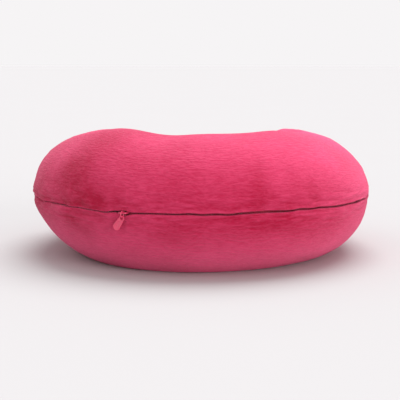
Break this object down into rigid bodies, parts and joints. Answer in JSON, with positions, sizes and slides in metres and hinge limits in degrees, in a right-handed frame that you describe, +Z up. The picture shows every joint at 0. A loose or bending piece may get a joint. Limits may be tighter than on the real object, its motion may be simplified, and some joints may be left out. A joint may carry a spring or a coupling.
{
  "type": "u-shaped neck pillow",
  "caption": "Plush U-shaped neck pillow: a foam core in a sewn liner inside a zip-off velour cover with an outer seam and a pull tab.",
  "frame": {"origin": "middle of the footprint's bounding box, on the floor that the pillow lies on", "axes": "+X across the pillow towards the right arm as seen from behind, +Y from the back of the neck towards the tips of the arms, +Z up through the pillow's thickness"},
  "size_m": [0.3, 0.2801, 0.112],
  "materials": {
    "plush": "matte",
    "liner": "matte",
    "liner_thread": "satin",
    "foam": "matte",
    "thread": "satin",
    "zip_tape": "matte",
    "zip_coil": "satin",
    "zip_metal": "gloss",
    "label": "satin"
  },
  "bodies": {
    "cushion": {"foam_core": "foam", "liner_top": "liner", "liner_bottom": "liner", "liner_stitching": "liner_thread", "cover_top_panel": "plush", "cover_bottom_panel": "plush", "outer_seam_stitching": "thread", "inner_seam_stitching": "thread", "zip_tape_upper": "zip_tape", "zip_tape_lower": "zip_tape", "zip_coil_upper": "zip_coil", "zip_coil_lower": "zip_coil", "zip_cord_upper": "zip_tape", "zip_cord_lower": "zip_tape", "zip_tape_stitching_upper": "thread", "zip_tape_stitching_lower": "thread", "zip_top_stops": "zip_metal", "zip_bottom_stop": "zip_metal", "zip_end_tack_left": "thread", "zip_end_tack_right": "thread", "care_label": "label"},
    "slider": {"zip_slider": "zip_metal"},
    "pull_link": {"zip_pull_link": "zip_metal"},
    "pull_tab": {"zip_pull_tab": "zip_metal"}
  },
  "joints": [
    {"name": "zip_slide", "type": "hinge", "parent": "cushion", "child": "slider", "pos_m": [0, 0.00975, 0.053], "axis": [0, 0, 1], "range_deg": [0, 85], "deforming": ["zip_coil_upper", "zip_coil_lower"]},
    {"name": "link_lift", "type": "hinge", "parent": "slider", "child": "pull_link", "pos_m": [-0.06227, -0.13012, 0.053], "axis": [-0.9135, 0.4067, 0], "range_deg": [0, 150]},
    {"name": "tab_swing", "type": "hinge", "parent": "pull_link", "child": "pull_tab", "pos_m": [-0.06227, -0.13012, 0.04943], "axis": [-0.4067, -0.9135, 0], "range_deg": [-46, 114]}
  ]
}
